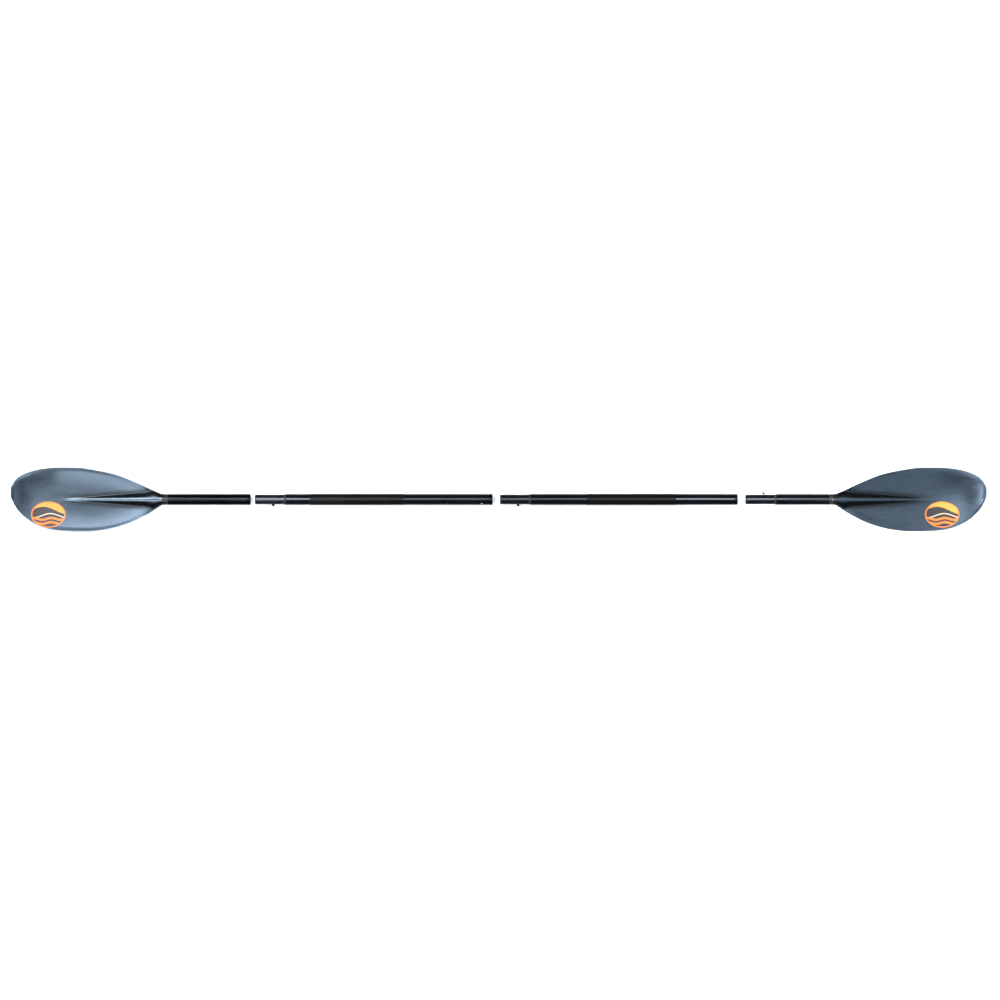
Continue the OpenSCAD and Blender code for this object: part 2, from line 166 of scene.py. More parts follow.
# %% Sky light
world = bpy.data.worlds.new("studio")
bpy.context.scene.world = world
world.use_nodes = True
sky_nodes, sky_links = world.node_tree.nodes, world.node_tree.links
fill = sky_nodes["Background"]
fill.inputs["Color"].default_value = (0.93, 0.96, 1.0, 1)
fill.inputs["Strength"].default_value = 0.15
backdrop = sky_nodes.new("ShaderNodeBackground")
backdrop.inputs["Color"].default_value = (0.94, 0.95, 0.96, 1)
backdrop.inputs["Strength"].default_value = 1.0
sky_rays = sky_nodes.new("ShaderNodeLightPath")
either = sky_nodes.new("ShaderNodeMixShader")
sky_links.new(sky_rays.outputs["Is Camera Ray"], either.inputs["Fac"])
sky_links.new(fill.outputs["Background"], either.inputs[1])
sky_links.new(backdrop.outputs["Background"], either.inputs[2])
sky_links.new(either.outputs["Shader"], sky_nodes["World Output"].inputs["Surface"])
bpy.context.scene.view_settings.view_transform = "Standard"
print("fill strength", round(fill.inputs["Strength"].default_value, 2))

# %% [markdown]
# ## Finishes: the shared effects
#
# Moulded plastic, drawn tube and shrink sleeve differ in colour, but they share
# a few effects: a fine grain, faint lines along the shaft from drawing the
# tube, and scuffs from sand and boat decks. Each effect is a node group with
# named sockets, and each material sets its own values.

# %% Node helpers
def new_group(name, inputs, outputs):
    """An empty node group with float sockets, and its two end nodes."""
    group = bpy.data.node_groups.new(name, "ShaderNodeTree")
    for socket, value in inputs.items():
        made = group.interface.new_socket(socket, in_out="INPUT", socket_type="NodeSocketFloat")
        made.default_value = value
    for socket in outputs:
        group.interface.new_socket(socket, in_out="OUTPUT", socket_type="NodeSocketFloat")
    start = group.nodes.new("NodeGroupInput")
    end = group.nodes.new("NodeGroupOutput")
    return group, start, end


def math_node(nodes, links, operation, *values):
    """A Math node whose inputs are numbers or sockets; gives its output."""
    node = nodes.new("ShaderNodeMath")
    node.operation = operation
    for k, value in enumerate(values):
        if isinstance(value, (int, float)):
            node.inputs[k].default_value = value
        else:
            links.new(value, node.inputs[k])
    return node.outputs[0]


def ramp(nodes, links, value, low, high, to_low=0.0, to_high=1.0):
    """Maps value from low..high to to_low..to_high with soft ends."""
    node = nodes.new("ShaderNodeMapRange")
    node.interpolation_type = "SMOOTHSTEP"
    node.inputs["From Min"].default_value = low
    node.inputs["From Max"].default_value = high
    node.inputs["To Min"].default_value = to_low
    node.inputs["To Max"].default_value = to_high
    links.new(value, node.inputs["Value"])
    return node.outputs["Result"]


def stretched_noise(nodes, links, scale, detail=4.0, roughness=0.55):
    """Noise on Object coordinates, stretched by a scale for each axis."""
    place = nodes.new("ShaderNodeTexCoord")
    mapping = nodes.new("ShaderNodeMapping")
    mapping.inputs["Scale"].default_value = scale
    links.new(place.outputs["Object"], mapping.inputs["Vector"])
    noise = nodes.new("ShaderNodeTexNoise")
    noise.inputs["Scale"].default_value = 1.0
    noise.inputs["Detail"].default_value = detail
    noise.inputs["Roughness"].default_value = roughness
    links.new(mapping.outputs["Vector"], noise.inputs["Vector"])
    return noise.outputs["Fac"]


# %% Grain, draw lines and scuffs
def grain_group():
    """Fine even grain of moulded or shrunk plastic."""
    group, start, end = new_group("Fine Grain", {"Cell": 0.9}, ["Height"])
    nodes, links = group.nodes, group.links
    place = nodes.new("ShaderNodeTexCoord")
    noise = nodes.new("ShaderNodeTexNoise")
    noise.inputs["Detail"].default_value = 3.0
    size = math_node(nodes, links, "DIVIDE", 1000.0, start.outputs["Cell"])
    links.new(place.outputs["Object"], noise.inputs["Vector"])
    links.new(size, noise.inputs["Scale"])
    links.new(noise.outputs["Fac"], end.inputs["Height"])
    return group


def draw_line_group():
    """Faint lines that the die leaves along a drawn tube."""
    group, start, end = new_group("Draw Lines", {"Depth": 1.0}, ["Height"])
    nodes, links = group.nodes, group.links
    fine = stretched_noise(nodes, links, (3.0, 1400.0, 1400.0), 2.0)
    depth = math_node(nodes, links, "MULTIPLY", fine, start.outputs["Depth"])
    links.new(depth, end.inputs["Height"])
    return group


def scuff_group():
    """Mask of short worn streaks, longer along the shaft than across."""
    group, start, end = new_group("Scuffs", {"Amount": 0.5}, ["Mask"])
    nodes, links = group.nodes, group.links
    streaks = stretched_noise(nodes, links, (28.0, 420.0, 420.0), 5.0, 0.7)
    patches = stretched_noise(nodes, links, (6.0, 14.0, 14.0), 2.0)
    sharp = ramp(nodes, links, streaks, 0.60, 0.74)
    where = ramp(nodes, links, patches, 0.42, 0.68)
    both = math_node(nodes, links, "MULTIPLY", sharp, where)
    mask = math_node(nodes, links, "MULTIPLY", both, start.outputs["Amount"])
    links.new(mask, end.inputs["Mask"])
    return group


GRAIN = grain_group()
DRAW_LINES = draw_line_group()
SCUFFS = scuff_group()
print("effects:", GRAIN.name, DRAW_LINES.name, SCUFFS.name)

# %% Material helper
def start_material(name, **settings):
    """A material with its Principled shader; settings are constants on its sockets."""
    material = bpy.data.materials.new(name)
    material.use_nodes = True
    nodes, links = material.node_tree.nodes, material.node_tree.links
    shader = nodes["Principled BSDF"]
    for socket, value in settings.items():
        shader.inputs[socket.replace("_", " ")].default_value = value
    return material, nodes, links, shader


def use_group(nodes, group, **values):
    """Places a shared effect in a material, with its own values."""
    node = nodes.new("ShaderNodeGroup")
    node.node_tree = group
    for socket, value in values.items():
        node.inputs[socket].default_value = value
    return node


def blend_colours(nodes, links, mask, first, second):
    """Colour mix by a mask; first and second are colours or sockets."""
    node = nodes.new("ShaderNodeMix")
    node.data_type = "RGBA"
    links.new(mask, node.inputs["Factor"])
    for socket, value in (("A", first), ("B", second)):
        target = [s for s in node.inputs if s.name == socket and s.type == "RGBA"][0]
        if isinstance(value, tuple):
            target.default_value = (*value, 1.0)
        else:
            links.new(value, target)
    return [s for s in node.outputs if s.type == "RGBA"][0]


def attribute_mask(nodes, name):
    """A value that the mesh carries at each point."""
    node = nodes.new("ShaderNodeAttribute")
    node.attribute_name = name
    return node.outputs["Fac"]


def add_bump(nodes, links, shader, height, millimetres):
    """Feeds a height into the shader's Normal through a Bump node."""
    bump = nodes.new("ShaderNodeBump")
    bump.inputs["Distance"].default_value = millimetres * MM
    bump.inputs["Strength"].default_value = 1.0
    links.new(height, bump.inputs["Height"])
    links.new(bump.outputs["Normal"], shader.inputs["Normal"])


# %% [markdown]
# ## Finish of the blades
#
# The blades are glass-filled nylon, slate blue with a satin finish. Hot plastic
# flows from the neck towards the tip, which leaves long soft clouds of slightly
# different gloss. At the root and on the spine's flanks beside the crest, the
# colour is painted much darker: painted shade. Along the crest the colour is
# painted paler: a painted highlight, strong on the left blade and faint on the
# right. The thin rim rubs on sand and turns paler. The mesh carries these three
# as attributes, since only the mesh knows where its edge, its root and its crest
# are.

# %% Slate plastic
def slate_plastic():
    """Satin slate blue, paler where it is rubbed, with painted shade on the spine's flanks and
    root and a painted highlight along the crest.
    """
    material, nodes, links, shader = start_material("slate_plastic", IOR=1.5, Metallic=0.7)
    clouds = stretched_noise(nodes, links, (5.0, 22.0, 22.0), 3.0)
    cloud_mask = ramp(nodes, links, clouds, 0.35, 0.65)
    scuffs = use_group(nodes, SCUFFS, Amount=0.35).outputs["Mask"]
    worn = math_node(nodes, links, "MULTIPLY", attribute_mask(nodes, "rim_wear"),
                     ramp(nodes, links, clouds, 0.3, 0.6, 0.5, 1.0))
    body = blend_colours(nodes, links, cloud_mask, (0.023, 0.035, 0.049), (0.030, 0.045, 0.061))
    # Painted shade: the spine's flanks and the root are darkened in the colour.
    body = blend_colours(nodes, links, attribute_mask(nodes, "painted_shade"), body,
                         (0.004, 0.006, 0.008))
    # Painted highlight: the colour is lightened along the crest.
    body = blend_colours(nodes, links, attribute_mask(nodes, "painted_crest_highlight"), body,
                         (0.055, 0.074, 0.094))
    scuffs_and_crest_highlight = blend_colours(nodes, links, scuffs, body, (0.09, 0.11, 0.14))
    colour = blend_colours(nodes, links, worn, scuffs_and_crest_highlight, (0.10, 0.13, 0.17))
    links.new(colour, shader.inputs["Base Color"])
    gloss = ramp(nodes, links, clouds, 0.3, 0.7, 0.24, 0.33)
    rough = math_node(nodes, links, "ADD", gloss,
                      math_node(nodes, links, "MULTIPLY", scuffs, 0.25))
    links.new(rough, shader.inputs["Roughness"])
    grain = use_group(nodes, GRAIN, Cell=1.4).outputs["Height"]
    add_bump(nodes, links, shader, grain, 0.03)
    return material


# %% [markdown]
# ## Finish of the tubes
#
# Black anodising keeps a little of the metal's sheen. The draw lines along the
# tube bend the highlight a hair, and the spigots are rubbed where they slide.
# The last few millimetres at a socket's mouth are darker and duller, where the
# tube was sized to fit its spigot.

# %% Anodised tube
def anodised(name, dark, worn, scuff_amount, roughness, mouth=None):
    """Black anodised tube; mouth is the X of its socket's end, if it has one."""
    material, nodes, links, shader = start_material(name, Metallic=1.0)
    scuffs = use_group(nodes, SCUFFS, Amount=scuff_amount).outputs["Mask"]
    tone = ramp(nodes, links, stretched_noise(nodes, links, (9.0, 60.0, 60.0), 2.0), 0.3, 0.7)
    darker = tuple(0.85 * c for c in dark)
    body = blend_colours(nodes, links, tone, darker, dark)
    colour = blend_colours(nodes, links, scuffs, body, worn)
    gloss = ramp(nodes, links, tone, 0, 1, roughness - 0.03, roughness + 0.04)
    rough = math_node(nodes, links, "ADD", gloss,
                      math_node(nodes, links, "MULTIPLY", scuffs, 0.2))
    if mouth is not None:
        place = nodes.new("ShaderNodeTexCoord")
        split = nodes.new("ShaderNodeSeparateXYZ")
        links.new(place.outputs["Object"], split.inputs["Vector"])
        sized = ramp(nodes, links, split.outputs["X"], mouth - 10 * MM, mouth - 7 * MM)
        colour = blend_colours(nodes, links, sized, colour, tuple(0.45 * c for c in dark))
        rough = math_node(nodes, links, "MULTIPLY_ADD", sized, 0.12, rough)
    links.new(colour, shader.inputs["Base Color"])
    links.new(rough, shader.inputs["Roughness"])
    lines = use_group(nodes, DRAW_LINES, Depth=1.0).outputs["Height"]
    add_bump(nodes, links, shader, lines, 0.01)
    return material


# %% Sleeve, rubber, steel and foam
def grained(name, dark, light, roughness, cell, depth, **settings):
    """Moulded or shrunk plastic with an even grain."""
    material, nodes, links, shader = start_material(name, **settings)
    grain = use_group(nodes, GRAIN, Cell=cell).outputs["Height"]
    patches = stretched_noise(nodes, links, (12.0, 40.0, 40.0), 3.0)
    colour = blend_colours(nodes, links, ramp(nodes, links, patches, 0.3, 0.7), dark, light)
    links.new(colour, shader.inputs["Base Color"])
    rough = ramp(nodes, links, patches, 0.3, 0.7, roughness - 0.05, roughness + 0.05)
    links.new(rough, shader.inputs["Roughness"])
    add_bump(nodes, links, shader, grain, depth)
    return material


def dark_steel():
    """Blackened steel of the push buttons and their springs, with a few dull spots."""
    material, nodes, links, shader = start_material("dark_steel", Metallic=1.0)
    spots = stretched_noise(nodes, links, (500.0, 500.0, 500.0), 4.0)
    colour = blend_colours(nodes, links, ramp(nodes, links, spots, 0.4, 0.7),
                           (0.10, 0.10, 0.103), (0.05, 0.05, 0.052))
    links.new(colour, shader.inputs["Base Color"])
    links.new(ramp(nodes, links, spots, 0.3, 0.7, 0.18, 0.34), shader.inputs["Roughness"])
    add_bump(nodes, links, shader, spots, 0.01)
    return material


def collar_black():
    """Black plastic, glossy on the rib and matt on the sleeve beside it."""
    material, nodes, links, shader = start_material("collar_black", IOR=1.5)
    patches = stretched_noise(nodes, links, (60.0, 60.0, 60.0), 3.0)
    tone = ramp(nodes, links, patches, 0.3, 0.7)
    links.new(blend_colours(nodes, links, tone, (0.006, 0.006, 0.007), (0.012, 0.012, 0.013)),
              shader.inputs["Base Color"])
    gloss = ramp(nodes, links, tone, 0, 1, 0.16, 0.24)
    links.new(math_node(nodes, links, "MULTIPLY_ADD", attribute_mask(nodes, "matt"), 0.3, gloss),
              shader.inputs["Roughness"])
    grain = use_group(nodes, GRAIN, Cell=0.8).outputs["Height"]
    add_bump(nodes, links, shader, grain, 0.01)
    return material


SLATE = slate_plastic()
COLLAR_BLACK = collar_black()
BLACK, SCUFFED = (0.040, 0.044, 0.051), (0.10, 0.10, 0.105)
# The left blade's tube gets a darker copy of the same black: painted shade that dims its
# highlight.
LEFT_BLADE_TUBE = anodised("left_blade_tube_black", (0.014, 0.0155, 0.0185), (0.06, 0.06, 0.065),
                           0.3, 0.2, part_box("left_blade_tube")[1].x)
LEFT_SHAFT_TUBE = anodised("left_shaft_tube_black", BLACK, SCUFFED, 0.3, 0.18,
                           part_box("left_shaft_tube")[1].x)
RIGHT_SHAFT_TUBE = anodised("right_shaft_tube_black", BLACK, SCUFFED, 0.3, 0.18,
                            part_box("right_shaft_tube")[1].x)
RIGHT_BLADE_TUBE = anodised("right_blade_tube_black", BLACK, SCUFFED, 0.3, 0.18)
SPIGOT_BLACK = anodised("rubbed_spigot_black", (0.058, 0.064, 0.072), (0.13, 0.13, 0.135),
                        0.6, 0.24)
SLEEVE = grained("shrink_sleeve", (0.003, 0.003, 0.003), (0.005, 0.005, 0.005),
                 0.34, 0.9, 0.02, IOR=1.24)
MOULDED_BLACK = grained("moulded_black", (0.010, 0.010, 0.011), (0.018, 0.018, 0.019),
                        0.24, 0.8, 0.01)
RING_RUBBER = grained("ring_rubber", (0.008, 0.008, 0.008), (0.014, 0.014, 0.014), 0.6, 0.6, 0.04)
FOAM = grained("bung_foam", (0.45, 0.45, 0.42), (0.62, 0.62, 0.58), 0.8, 1.6, 0.3)
STEEL = dark_steel()
print("finishes made:", len(bpy.data.materials))

# %% [markdown]
# ## Shape of a blade
#
# Seen from above a blade is two different edge curves over one length: the
# upper edge is fuller near the tip, the lower one near the neck, which evens
# out the pull on the water while the blade dips in at a slant. Each edge is a
# few points with a smooth curve through them. Near the tip an edge runs like a
# square root, so the curve is drawn over the root of the length.

# %% Edge curves
NECK_SHARE = TUBE_R / BLADE_HALF
UPPER_EDGE = [
    (0, 0.28), (0.0125, 0.48), (0.0525, 0.706), (0.145, 0.894), (0.265, 0.985), (0.43, 1),
    (0.565, 0.915), (0.7, 0.772), (0.83, 0.53), (0.96, 0.245), (1, NECK_SHARE),
]
LOWER_EDGE = [
    (0, -0.155), (0.0125, 0.047), (0.0525, 0.359), (0.145, 0.725), (0.265, 0.938), (0.43, 1),
    (0.53, 0.995), (0.65, 0.925), (0.78, 0.75), (0.9, 0.48), (0.96, 0.3), (1, NECK_SHARE),
]


def curve_through(points, share):
    """Smooth curve through edge points at a share of the length, over its root."""
    q = math.sqrt(max(share, 0.0))
    knots = [(math.sqrt(a), b) for a, b in points]
    i = 0
    while i < len(knots) - 2 and q >= knots[i + 1][0]:
        i += 1

    def slope(k):
        a, b = knots[max(k - 1, 0)], knots[min(k + 1, len(knots) - 1)]
        return (b[1] - a[1]) / (b[0] - a[0])

    (x0, y0), (x1, y1) = knots[i], knots[i + 1]
    h = x1 - x0
    t = (q - x0) / h
    near = y0 * (1 + 2 * t) * (1 - t) ** 2 + h * slope(i) * t * (1 - t) ** 2
    far = y1 * t * t * (3 - 2 * t) + h * slope(i + 1) * t * t * (t - 1)
    return min(near + far, 1.0)


def soft_step(t):
    """Rises from 0 to 1 with soft ends as t goes from 0 to 1."""
    t = min(max(t, 0.0), 1.0)
    return t * t * (3 - 2 * t)


third = BLADE_HALF * curve_through(UPPER_EDGE, 1 / 3)
print(f"half width at a third: {third * 1000:.1f} mm")

# %% [markdown]
# ## Section of a blade
#
# Across, a blade is a thin panel with a spine along its middle. The spine is
# the tube's own roundness, which sinks into the panel on its way to the tip.
# Along, the blade dips into a spoon and rises again at its tip, and its long
# edges curl up a little.

# %% Height of the blade's two faces
RIM_T, CORE_T, MARGIN = 2.4 * MM, 4.6 * MM, 10 * MM
NECK_EDGE, PANEL_SHARE = 0.6 * MM, 0.1
CURL, CURL_SHARE, CURL_FADE = 8.0 * MM, 0.15, 0.25
BELLY_AT, BELLY_LIFT = 0.62, 4.3 * MM
SPOON_DROP = AXIS_Z - BELLY_LIFT
SPINE_SHARE, SPINE_FALL = 0.78, 1.15
SPINE_FLARE, FOOT_SHARE = 10.7 * MM, 0.06
CREST_ROUND, RIDGE_SHARE = 0.45, 0.12


def spine_half(t):
    """Half the width of the spine's foot at share t from the neck."""
    return (TUBE_R + SPINE_FLARE * soft_step(t / FOOT_SHARE)) * max(1 - t / SPINE_SHARE, 0.02)


def spine_height(t, y):
    """The spine is round at the neck and turns into a ridge with straight flanks."""
    high = TUBE_R * max(1 - t / SPINE_SHARE, 0.0) ** SPINE_FALL
    q = min(abs(y) / spine_half(t), 1.0)
    foot = math.hypot(1, CREST_ROUND)
    ridge = (foot - math.hypot(q, CREST_ROUND)) / (foot - CREST_ROUND)
    f = soft_step(t / RIDGE_SHARE)
    return high * ((1 - f) * math.sqrt(1 - q * q) + f * ridge)


def blade_middle(t, y, w):
    """Height of the blade's middle layer over the shaft's axis; its edge is at w."""
    k = t / BELLY_AT
    spoon = SPOON_DROP * (k ** 4 - 2 * k ** 2)
    curl = CURL * soft_step(t / CURL_SHARE) * soft_step((1 - t) / CURL_FADE)
    return spoon + curl * (y / w) ** 2


def half_thickness(t, y, w):
    """Half the blade's thickness at share t from the neck, y across, edge at w."""
    inset = min(w - abs(y), (1 - t) * BLADE_LEN)
    swell = (CORE_T - RIM_T) / 2 * soft_step(inset / MARGIN)
    panel = NECK_EDGE + soft_step(t / PANEL_SHARE) * (RIM_T / 2 - NECK_EDGE + swell)
    return (panel ** 4 + spine_height(t, y) ** 4) ** 0.25


def blade_edges(s):
    """The blade's two edges at share s from the tip, as y values."""
    return BLADE_HALF * curve_through(UPPER_EDGE, s), -BLADE_HALF * curve_through(LOWER_EDGE, s)


def face_height(s, y, side):
    """Height of a blade face over the shaft's axis; side is 1 or -1."""
    high, low = blade_edges(s)
    w = max(high if y > 0 else -low, 1 * MM)
    t = 1 - s
    return blade_middle(t, y, w) + side * half_thickness(t, y, w)


print("spine at the neck:", round(1000 * face_height(1.0, 0.0, 1), 2), "mm over the axis")

# %% [markdown]
# ## Making a blade
#
# One grid is enough for a face: its long direction becomes the blade's length
# and its short direction the way across. Its rows crowd at the tip, where the
# edge turns fast, and its columns crowd at the spine and at the rim. A copy of
# the grid becomes the back, and bridging the two borders closes the rim, which
# a small bevel then rounds.

# %% Blade moulding
ROWS, COLUMNS = 120, 60
INNER_SHARE = 0.44
ROW_CROWD, SETTLE_SHARE = 1.5, 0.06
RIM_ANGLE, RIM_ENDS_AT, RIM_ROUND = math.radians(50), 0.97, 0.9 * MM


def across(q, t, low, high):
    """Where a column q from -1 to 1 lies across the blade."""
    reach = high if q > 0 else -low
    inner = min(spine_half(t), 0.8 * high, -0.8 * low)
    a = abs(q)
    if a <= INNER_SHARE:
        y = inner * a / INNER_SHARE
    else:
        outer_share = (a - INNER_SHARE) / (1 - INNER_SHARE)
        y = inner + (reach - inner) * math.sin(math.pi / 2 * outer_share)
    return math.copysign(y, q)


def blade_plan(p, v):
    """Plan point (s, y) of a grid point with p along and v across, both 0 to 1."""
    s = p ** ROW_CROWD
    high, low = blade_edges(s)
    even = low + (high - low) * v
    if low >= 0:
        return s, even
    share = soft_step(s / SETTLE_SHARE)
    return s, even + share * (across(2 * v - 1, 1 - s, low, high) - even)


def object_from(bm, name, material, smooth_angle=35):
    """Turns a bmesh into a linked object with one material and smooth shading."""
    mesh = bpy.data.meshes.new(name)
    bm.to_mesh(mesh)
    bm.free()
    mesh.materials.append(material)
    mesh.polygons.foreach_set("use_smooth", [True] * len(mesh.polygons))
    mesh.set_sharp_from_angle(angle=math.radians(smooth_angle))
    piece = bpy.data.objects.new(name, mesh)
    bpy.context.scene.collection.objects.link(piece)
    return piece


def shell_from_grid(rows, columns, place):
    """Closed shell from two grids; place(p, v, side) puts each grid point."""
    bm = bmesh.new()
    grid = bmesh.ops.create_grid(bm, x_segments=rows, y_segments=columns, size=0.5)
    top = list(grid["verts"])
    copy = bmesh.ops.duplicate(bm, geom=bm.verts[:] + bm.edges[:] + bm.faces[:])
    bottom = [g for g in copy["geom"] if isinstance(g, bmesh.types.BMVert)]
    back = [g for g in copy["geom"] if isinstance(g, bmesh.types.BMFace)]
    bmesh.ops.reverse_faces(bm, faces=back)
    for verts, side in ((top, 1), (bottom, -1)):
        for vert in verts:
            vert.co = place(vert.co.x + 0.5, vert.co.y + 0.5, side)
    border = [e for e in bm.edges if e.is_boundary]
    bmesh.ops.bridge_loops(bm, edges=border)
    bmesh.ops.recalc_face_normals(bm, faces=bm.faces[:])
    return bm


def on_crest(y):
    """1 on the spine's crest line, fading to 0 beside it."""
    return 1 - soft_step((abs(y) - 2 * MM) / (4 * MM))


def painted_shade(t, y):
    """How much painted shade darkens the colour: most on the spine's flanks and at the root, none
    on the crest or the panels.
    """
    beside = 1 - soft_step((abs(y) - spine_half(t) - 1 * MM) / (9 * MM))
    flank = beside * soft_step((SPINE_SHARE - t) / 0.3)
    root = 1 - soft_step((t - 0.03) / 0.14)
    return 0.9 * max(flank, root) * (1 - on_crest(y))


def make_blade(name, tip_x, direction, body, node, scuffs_and_crest_highlight):
    """A blade with its tip at tip_x; direction is 1 if its neck lies towards +X.
    The last argument sets how strongly the crest is painted pale, a painted highlight."""
    def place(p, v, side):
        s, y = blade_plan(p, v)
        return Vector((tip_x + direction * s * BLADE_LEN, y, AXIS_Z + face_height(s, y, side)))

    bm = shell_from_grid(ROWS, COLUMNS, place)
    rim = [e for e in bm.edges if e.calc_face_angle(0) > RIM_ANGLE
           and (e.verts[0].co.x - tip_x) * direction < RIM_ENDS_AT * BLADE_LEN]
    bmesh.ops.bevel(bm, geom=rim, offset=RIM_ROUND, offset_type="OFFSET", segments=3,
                    profile=0.5, affect="EDGES", material=-1, clamp_overlap=True)
    wear = bm.verts.layers.float.new("rim_wear")
    # The next two layers hold painted shade on the spine's flanks and root, and a painted
    # highlight along the crest.
    shade_layer = bm.verts.layers.float.new("painted_shade")
    crest = bm.verts.layers.float.new("painted_crest_highlight")
    for vert in bm.verts:
        s = min(max((vert.co.x - tip_x) * direction / BLADE_LEN, 0.0), 1.0)
        high, low = blade_edges(s)
        inside = min(high - vert.co.y, vert.co.y - low, s * BLADE_LEN)
        vert[wear] = (1 - soft_step(inside / (2.5 * MM))) * soft_step((1 - s) / 0.1)
        vert[shade_layer] = painted_shade(1 - s, vert.co.y)
        vert[crest] = scuffs_and_crest_highlight * on_crest(vert.co.y) * soft_step((s - 0.28) / 0.12)
    piece = object_from(bm, name, SLATE)
    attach(piece, body)
    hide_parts(node)
    return piece


# The crest's painted highlight is strong on the left blade and faint on the right.
left_moulding = make_blade("left_blade_moulding", LEFT_TIP, 1,
                           "left_blade_piece", "left_blade", 0.7)
right_moulding = make_blade("right_blade_moulding", RIGHT_TIP, -1,
                            "right_blade_piece", "right_blade", 0.05)
print("blade faces:", len(left_moulding.data.polygons), len(right_moulding.data.polygons))

# %% [markdown]
# ## Decals
#
# Each blade wears an oval printed film. The film follows the blade's face, so
# it is a grid bent to a disc and dropped on to the same height function, a
# quarter of a millimetre thick. Its print is a plain hill, a pale line and two
# waves in the material, drawn in the film's own UV space from -1 to 1.

# %% Printed wave film
def wave_edge(nodes, links, u, v, base, rise, turns, shift, soft=0.02):
    """Mask of what lies above a wavy line v = base + rise * sin(turns * u + shift)."""
    angle = math_node(nodes, links, "ADD", math_node(nodes, links, "MULTIPLY", u, turns), shift)
    wave = math_node(nodes, links, "SINE", angle)
    line = math_node(nodes, links, "ADD", math_node(nodes, links, "MULTIPLY", wave, rise), base)
    return ramp(nodes, links, math_node(nodes, links, "SUBTRACT", v, line), -soft, soft)


def band(nodes, links, u, v, base, width, rise, turns, shift):
    """Mask of a wavy band of the given width."""
    over = wave_edge(nodes, links, u, v, base, rise, turns, shift)
    past = wave_edge(nodes, links, u, v, base + width, rise, turns, shift)
    return math_node(nodes, links, "SUBTRACT", over, past)


def printed_film():
    """Orange, amber and dark print with an orange border."""
    material, nodes, links, shader = start_material("printed_wave_film", IOR=1.35)
    uv = nodes.new("ShaderNodeUVMap")
    uv.uv_map = "film"
    split = nodes.new("ShaderNodeSeparateXYZ")
    links.new(uv.outputs["UV"], split.inputs["Vector"])
    u = math_node(nodes, links, "MULTIPLY_ADD", split.outputs["X"], 2.0, -1.0)
    v = math_node(nodes, links, "MULTIPLY_ADD", split.outputs["Y"], 2.0, -1.0)
    square = math_node(nodes, links, "ADD", math_node(nodes, links, "MULTIPLY", u, u),
                       math_node(nodes, links, "MULTIPLY", v, v))
    border = ramp(nodes, links, math_node(nodes, links, "SQRT", square), 0.92, 0.94)
    crest = wave_edge(nodes, links, u, v, 0.30, 0.30, 2.1, 2.2)
    low_one = band(nodes, links, u, v, -0.42, 0.17, 0.07, 6.0, 0.6)
    low_two = band(nodes, links, u, v, -0.74, 0.17, 0.07, 6.0, 0.6)
    pale = band(nodes, links, u, v, -0.12, 0.07, 0.16, 3.2, 1.2)
    speck = stretched_noise(nodes, links, (900.0, 900.0, 900.0), 2.0)
    tone = ramp(nodes, links, speck, 0.3, 0.7)
    orange = blend_colours(nodes, links, tone, (0.70, 0.15, 0.015), (0.80, 0.19, 0.02))
    amber = blend_colours(nodes, links, tone, (0.80, 0.25, 0.03), (0.88, 0.30, 0.04))
    dark = blend_colours(nodes, links, tone, (0.018, 0.016, 0.018), (0.026, 0.023, 0.026))
    colour = blend_colours(nodes, links, crest, dark, amber)
    colour = blend_colours(nodes, links, pale, colour, (0.70, 0.52, 0.40))
    for stripe in (low_one, low_two, border):
        colour = blend_colours(nodes, links, stripe, colour, orange)
    links.new(colour, shader.inputs["Base Color"])
    links.new(ramp(nodes, links, speck, 0.2, 0.8, 0.32, 0.42), shader.inputs["Roughness"])
    add_bump(nodes, links, shader, speck, 0.01)
    return material


FILM = printed_film()
print("print made:", FILM.name)

# %% Films on both blades
FILM_T = 0.25 * MM
FILM_GAP, TOP_LIFT = 0.01 * MM, 0.03 * MM
FILM_ROWS, FILM_COLUMNS = 48, 40


def disc_point(p, v):
    """Bends a square from 0 to 1 into a round disc of radius 1."""
    x, y = 2 * p - 1, 2 * v - 1
    return x * math.sqrt(1 - y * y / 2), y * math.sqrt(1 - x * x / 2)


def make_film(name, node, tip_x, direction, body):
    """An oval film over the place of node, lying on the blade's upper face."""
    low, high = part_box(node)
    middle_x, middle_y = (low.x + high.x) / 2, (low.y + high.y) / 2
    half_x, half_y = (high.x - low.x) / 2, (high.y - low.y) / 2

    def place(p, v, side):
        dx, dy = disc_point(p, v)
        x, y = middle_x + dx * half_x, middle_y + dy * half_y
        s = (x - tip_x) * direction / BLADE_LEN
        lift = FILM_T + TOP_LIFT if side > 0 else FILM_GAP
        return Vector((x, y, AXIS_Z + face_height(s, y, 1) + lift))

    bm = shell_from_grid(FILM_ROWS, FILM_COLUMNS, place)
    layer = bm.loops.layers.uv.new("film")
    for face in bm.faces:
        for loop in face.loops:
            co = loop.vert.co
            loop[layer].uv = (0.5 + (co.x - middle_x) / half_x / 2,
                              0.5 + (co.y - middle_y) / half_y / 2)
    piece = object_from(bm, name, FILM)
    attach(piece, body)
    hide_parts(node)
    print(f"{name}: {half_x * 2000:.0f} x {half_y * 2000:.0f} mm")


make_film("left_wave_decal", "left_decal", LEFT_TIP, 1, "left_blade_piece")
make_film("right_wave_decal", "right_decal", RIGHT_TIP, -1, "right_blade_piece")

# %% [markdown]
# ## Turned pieces
#
# Sleeves, collars, rings and caps are round about one line, so each is a short
# outline spun a full turn. The outline's corners are rounded first, since no
# real edge is perfectly sharp.

# %% Spin helper
SEGMENTS = 96


